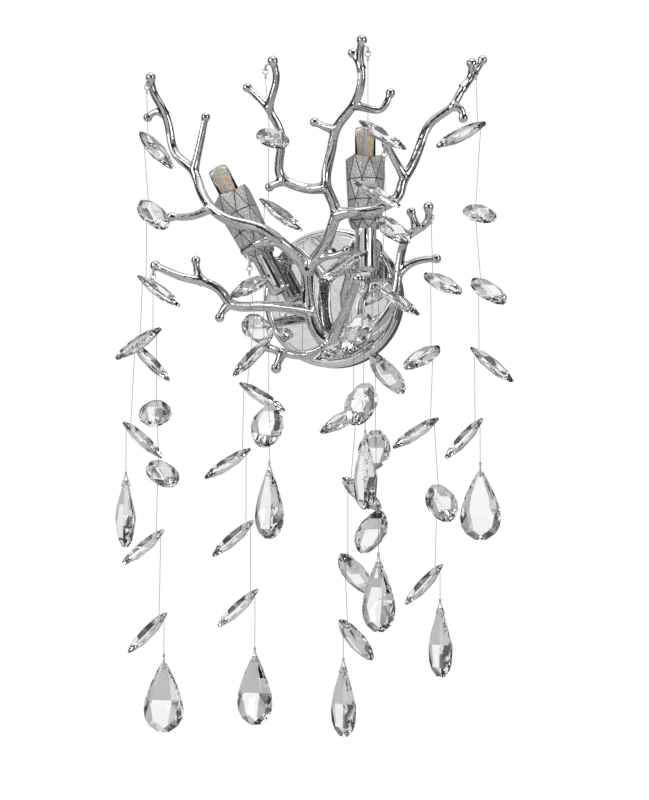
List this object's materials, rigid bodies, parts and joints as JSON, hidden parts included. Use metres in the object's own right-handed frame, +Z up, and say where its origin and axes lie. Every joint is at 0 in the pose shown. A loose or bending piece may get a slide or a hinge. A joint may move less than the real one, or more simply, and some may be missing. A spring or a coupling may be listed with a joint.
{
  "type": "wall sconce",
  "caption": "Chrome wall sconce: a round canopy carries a cast tree of branches with capsule lamps in crimped sleeves and hanging strands of leaf and drop crystals.",
  "frame": {"origin": "centre of the canopy's back face, on the wall", "axes": "+Z up, +Y into the wall, so the front faces -Y; +X to the viewer's right"},
  "size_m": [0.3147, 0.143, 0.5299],
  "materials": {
    "chrome": "polished",
    "crimped_metal": "textured",
    "zinc_steel": "satin",
    "white_plastic": "matt",
    "ceramic": "matt",
    "clear_glass": "clear",
    "led_board": "matt",
    "crystal": "cut and polished",
    "steel_wire": "polished",
    "thread": "fine"
  },
  "bodies": {
    "frame": {"canopy": "chrome", "wall_bracket": "zinc_steel", "canopy_screws": "chrome", "terminal_block": "white_plastic", "hub_post": "chrome", "trunk": "chrome", "branch_upper_left": "chrome", "branch_centre": "chrome", "branch_tall_right": "chrome", "branch_left": "chrome", "branch_lower_left": "chrome", "branch_short_right": "chrome", "branch_inner": "chrome", "lamp_arms": "chrome", "lamp_tubes": "chrome", "lamp_sleeves": "crimped_metal", "lamp_sockets": "ceramic"},
    "bulb_left": {"bulb_left_capsule": "clear_glass", "bulb_left_core": "led_board"},
    "bulb_right": {"bulb_right_capsule": "clear_glass", "bulb_right_core": "led_board"},
    "strand_one": {"thread_one": "thread", "fittings_one": "steel_wire", "leaves_one": "crystal"},
    "drop_one": {"drop_one": "crystal"},
    "strand_two": {"thread_two": "thread", "fittings_two": "steel_wire", "leaves_two": "crystal"},
    "drop_two": {"drop_two": "crystal"},
    "strand_three": {"thread_three": "thread", "fittings_three": "steel_wire", "leaves_three": "crystal"},
    "drop_three": {"drop_three": "crystal"},
    "strand_four": {"thread_four": "thread", "fittings_four": "steel_wire", "leaves_four": "crystal"},
    "drop_four": {"drop_four": "crystal"},
    "strand_five": {"thread_five": "thread", "fittings_five": "steel_wire", "leaves_five": "crystal"},
    "strand_six": {"thread_six": "thread", "fittings_six": "steel_wire", "leaves_six": "crystal"},
    "drop_six": {"drop_six": "crystal"},
    "strand_seven": {"thread_seven": "thread", "fittings_seven": "steel_wire", "leaves_seven": "crystal"},
    "drop_seven": {"drop_seven": "crystal"},
    "strand_eight": {"thread_eight": "thread", "fittings_eight": "steel_wire", "leaves_eight": "crystal"},
    "drop_eight": {"drop_eight": "crystal"},
    "strand_nine": {"thread_nine": "thread", "fittings_nine": "steel_wire", "leaves_nine": "crystal"},
    "drop_nine": {"drop_nine": "crystal"},
    "strand_ten": {"thread_ten": "thread", "fittings_ten": "steel_wire", "leaves_ten": "crystal"},
    "drop_ten": {"drop_ten": "crystal"}
  },
  "joints": [
    {"name": "bulb_left_pull", "type": "slide", "parent": "frame", "child": "bulb_left", "axis": [-0.465, 0, 0.8853], "range_m": [0, 0.012]},
    {"name": "bulb_right_pull", "type": "slide", "parent": "frame", "child": "bulb_right", "axis": [0, 0, 1], "range_m": [0, 0.012]},
    {"name": "strand_one_swing", "type": "hinge", "parent": "frame", "child": "strand_one", "pos_m": [-0.14, -0.07, 0.166], "axis": [1, 0, 0], "range_deg": [-3, 8]},
    {"name": "drop_one_swing", "type": "hinge", "parent": "strand_one", "child": "drop_one", "pos_m": [-0.15591, -0.06796, -0.1503], "axis": [0.766, 0.6428, 0], "range_deg": [-20, 20]},
    {"name": "strand_two_swing", "type": "hinge", "parent": "frame", "child": "strand_two", "pos_m": [-0.125, -0.101, 0.011], "axis": [1, 0, 0], "range_deg": [-8, 8]},
    {"name": "drop_two_swing", "type": "hinge", "parent": "strand_two", "child": "drop_two", "pos_m": [-0.11693, -0.09407, -0.2903], "axis": [0, 1, 0], "range_deg": [-20, 20]},
    {"name": "strand_three_swing", "type": "hinge", "parent": "frame", "child": "strand_three", "pos_m": [-0.036, -0.104, 0.166], "axis": [1, 0, 0], "range_deg": [-8, 1]},
    {"name": "drop_three_swing", "type": "hinge", "parent": "strand_three", "child": "drop_three", "pos_m": [-0.03479, -0.09355, -0.1433], "axis": [0.5736, 0.8192, 0], "range_deg": [-20, 8]},
    {"name": "strand_four_swing", "type": "hinge", "parent": "frame", "child": "strand_four", "pos_m": [-0.055, -0.075, 0.019], "axis": [1, 0, 0], "range_deg": [-6, 8]},
    {"name": "drop_four_swing", "type": "hinge", "parent": "strand_four", "child": "drop_four", "pos_m": [-0.04992, -0.07587, -0.2853], "axis": [0.342, 0.9397, 0], "range_deg": [-20, 20]},
    {"name": "strand_five_swing", "type": "hinge", "parent": "frame", "child": "strand_five", "pos_m": [0.044, -0.108, 0.175], "axis": [1, 0, 0], "range_deg": [-6, 1]},
    {"name": "strand_six_swing", "type": "hinge", "parent": "frame", "child": "strand_six", "pos_m": [0.041, -0.121, -0.006], "axis": [1, 0, 0], "range_deg": [-8, 4]},
    {"name": "drop_six_swing", "type": "hinge", "parent": "strand_six", "child": "drop_six", "pos_m": [0.04254, -0.11308, -0.1213], "axis": [0.766, 0.6428, 0], "range_deg": [-20, 20]},
    {"name": "strand_seven_swing", "type": "hinge", "parent": "frame", "child": "strand_seven", "pos_m": [0.054, -0.093, 0.101], "axis": [1, 0, 0], "range_deg": [-2, 2]},
    {"name": "drop_seven_swing", "type": "hinge", "parent": "strand_seven", "child": "drop_seven", "pos_m": [0.05009, -0.09989, -0.2123], "axis": [0.5, 0.866, 0], "range_deg": [-20, 20]},
    {"name": "strand_eight_swing", "type": "hinge", "parent": "frame", "child": "strand_eight", "pos_m": [0.086, -0.066, 0.056], "axis": [1, 0, 0], "range_deg": [-4, 8]},
    {"name": "drop_eight_swing", "type": "hinge", "parent": "strand_eight", "child": "drop_eight", "pos_m": [0.09079, -0.05812, -0.2483], "axis": [0.766, 0.6428, 0], "range_deg": [-20, 20]},
    {"name": "strand_nine_swing", "type": "hinge", "parent": "frame", "child": "strand_nine", "pos_m": [0.121, -0.065, 0.167], "axis": [1, 0, 0], "range_deg": [-8, 8]},
    {"name": "drop_nine_swing", "type": "hinge", "parent": "strand_nine", "child": "drop_nine", "pos_m": [0.12211, -0.05946, -0.1443], "axis": [0, 1, 0], "range_deg": [-20, 20]},
    {"name": "strand_ten_swing", "type": "hinge", "parent": "frame", "child": "strand_ten", "pos_m": [0.025, -0.074, 0.011], "axis": [1, 0, 0], "range_deg": [-5, 6]},
    {"name": "drop_ten_swing", "type": "hinge", "parent": "strand_ten", "child": "drop_ten", "pos_m": [0.01962, -0.07916, -0.2923], "axis": [0.7071, 0.7071, 0], "range_deg": [-20, 20]}
  ]
}
